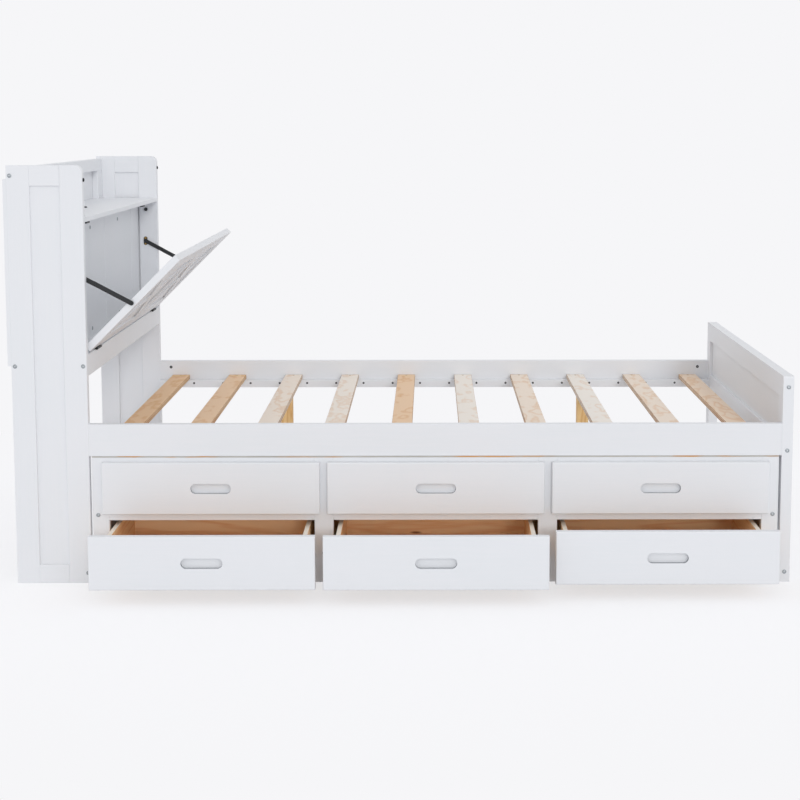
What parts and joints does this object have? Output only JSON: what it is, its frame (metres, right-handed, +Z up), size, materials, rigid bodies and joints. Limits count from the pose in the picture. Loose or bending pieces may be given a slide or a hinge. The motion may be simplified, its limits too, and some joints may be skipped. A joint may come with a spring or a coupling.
{
  "type": "captain's bed",
  "caption": "White painted wooden single bed with a bookcase headboard and drop-down flap, a panelled footboard, a slatted base and a chest of drawers under one side.",
  "frame": {"origin": "on the floor, under the middle of the box that holds the bed at rest, lower drawers out", "axes": "+X from headboard to footboard, +Y from the drawer side to the far side, +Z up"},
  "size_m": [2.178, 1.264, 1.17],
  "materials": {
    "white_painted_wood": "white sprayed lacquer on solid wood",
    "bare_pine": "planed bare pine",
    "drawer_pine": "clear-lacquered pine",
    "black_steel": "black painted pressed steel",
    "zinc_steel": "zinc plated",
    "slide_steel": "grey coated folded sheet",
    "white_nylon": "moulded nylon",
    "black_plastic": "moulded black plastic"
  },
  "bodies": {
    "bed_frame": {"headboard_near_stiles": "white_painted_wood", "headboard_near_rails": "white_painted_wood", "headboard_side_panels": "white_painted_wood", "headboard_far_stiles": "white_painted_wood", "headboard_far_rails": "white_painted_wood", "headboard_top_rail": "white_painted_wood", "headboard_back_stiles": "white_painted_wood", "headboard_shelf": "white_painted_wood", "compartment_floor": "white_painted_wood", "headboard_cross_rails": "white_painted_wood", "headboard_back_panel": "white_painted_wood", "hinge_rail_leaves": "black_steel", "hinge_pins": "black_steel", "stay_brackets": "black_steel", "flap_catches": "black_plastic", "footboard_posts": "white_painted_wood", "footboard_rails": "white_painted_wood", "footboard_panel": "white_painted_wood", "side_rail_near": "white_painted_wood", "slat_ledgers": "white_painted_wood", "side_rail_far": "white_painted_wood", "slats": "bare_pine", "middle_legs": "bare_pine", "chest_stiles": "white_painted_wood", "chest_rails": "white_painted_wood", "chest_partitions": "white_painted_wood", "chest_back": "white_painted_wood", "chest_spacer": "bare_pine", "slide_cleats": "bare_pine", "slide_channels": "slide_steel", "slide_rollers": "white_nylon", "frame_bolts": "zinc_steel"},
    "flap": {"flap_stiles": "white_painted_wood", "flap_rails": "white_painted_wood", "flap_panel": "white_painted_wood", "flap_braces": "white_painted_wood", "hinge_flap_leaves": "black_steel", "stay_studs": "black_steel"},
    "near_stay_upper": {"near_stay_upper_link": "black_steel"},
    "near_stay_lower": {"near_stay_lower_link": "black_steel"},
    "far_stay_upper": {"far_stay_upper_link": "black_steel"},
    "far_stay_lower": {"far_stay_lower_link": "black_steel"},
    "lower_left_drawer": {"lower_left_drawer_front": "white_painted_wood", "lower_left_drawer_box": "drawer_pine", "lower_left_drawer_runners": "slide_steel"},
    "lower_middle_drawer": {"lower_middle_drawer_front": "white_painted_wood", "lower_middle_drawer_box": "drawer_pine", "lower_middle_drawer_runners": "slide_steel"},
    "lower_right_drawer": {"lower_right_drawer_front": "white_painted_wood", "lower_right_drawer_box": "drawer_pine", "lower_right_drawer_runners": "slide_steel"},
    "upper_left_drawer": {"upper_left_drawer_front": "white_painted_wood", "upper_left_drawer_box": "drawer_pine", "upper_left_drawer_runners": "slide_steel"},
    "upper_middle_drawer": {"upper_middle_drawer_front": "white_painted_wood", "upper_middle_drawer_box": "drawer_pine", "upper_middle_drawer_runners": "slide_steel"},
    "upper_right_drawer": {"upper_right_drawer_front": "white_painted_wood", "upper_right_drawer_box": "drawer_pine", "upper_right_drawer_runners": "slide_steel"}
  },
  "joints": [
    {"name": "flap_hinge", "type": "hinge", "parent": "bed_frame", "child": "flap", "pos_m": [-0.8671, 0, 0.6482], "axis": [0, 1, 0], "range_deg": [-45, 0]},
    {"name": "near_stay_bracket_pivot", "type": "hinge", "parent": "bed_frame", "child": "near_stay_upper", "pos_m": [-0.913, -0.4195, 0.876], "axis": [0, 1, 0], "range_deg": [-118.27, 0.05]},
    {"name": "near_stay_elbow", "type": "hinge", "parent": "near_stay_upper", "child": "near_stay_lower", "pos_m": [-0.85306, -0.4195, 0.84384], "axis": [0, 1, 0], "range_deg": [-0.05, 165.26]},
    {"name": "far_stay_bracket_pivot", "type": "hinge", "parent": "bed_frame", "child": "far_stay_upper", "pos_m": [-0.913, 0.6105, 0.876], "axis": [0, 1, 0], "range_deg": [-118.27, 0.05]},
    {"name": "far_stay_elbow", "type": "hinge", "parent": "far_stay_upper", "child": "far_stay_lower", "pos_m": [-0.85306, 0.6105, 0.84384], "axis": [0, 1, 0], "range_deg": [-0.05, 165.26]},
    {"name": "lower_left_drawer_slide", "type": "slide", "parent": "bed_frame", "child": "lower_left_drawer", "axis": [0, -1, 0], "range_m": [-0.175, 0.125]},
    {"name": "lower_middle_drawer_slide", "type": "slide", "parent": "bed_frame", "child": "lower_middle_drawer", "axis": [0, -1, 0], "range_m": [-0.178, 0.122]},
    {"name": "lower_right_drawer_slide", "type": "slide", "parent": "bed_frame", "child": "lower_right_drawer", "axis": [0, -1, 0], "range_m": [-0.135, 0.165]},
    {"name": "upper_left_drawer_slide", "type": "slide", "parent": "bed_frame", "child": "upper_left_drawer", "axis": [0, -1, 0], "range_m": [0, 0.3]},
    {"name": "upper_middle_drawer_slide", "type": "slide", "parent": "bed_frame", "child": "upper_middle_drawer", "axis": [0, -1, 0], "range_m": [0, 0.3]},
    {"name": "upper_right_drawer_slide", "type": "slide", "parent": "bed_frame", "child": "upper_right_drawer", "axis": [0, -1, 0], "range_m": [0, 0.3]}
  ],
  "couplings": [
    {"joint": "near_stay_bracket_pivot", "follows": "flap_hinge", "ratio": 2.627},
    {"joint": "near_stay_elbow", "follows": "flap_hinge", "ratio": -3.6713},
    {"joint": "far_stay_bracket_pivot", "follows": "flap_hinge", "ratio": 2.627},
    {"joint": "far_stay_elbow", "follows": "flap_hinge", "ratio": -3.6713}
  ]
}
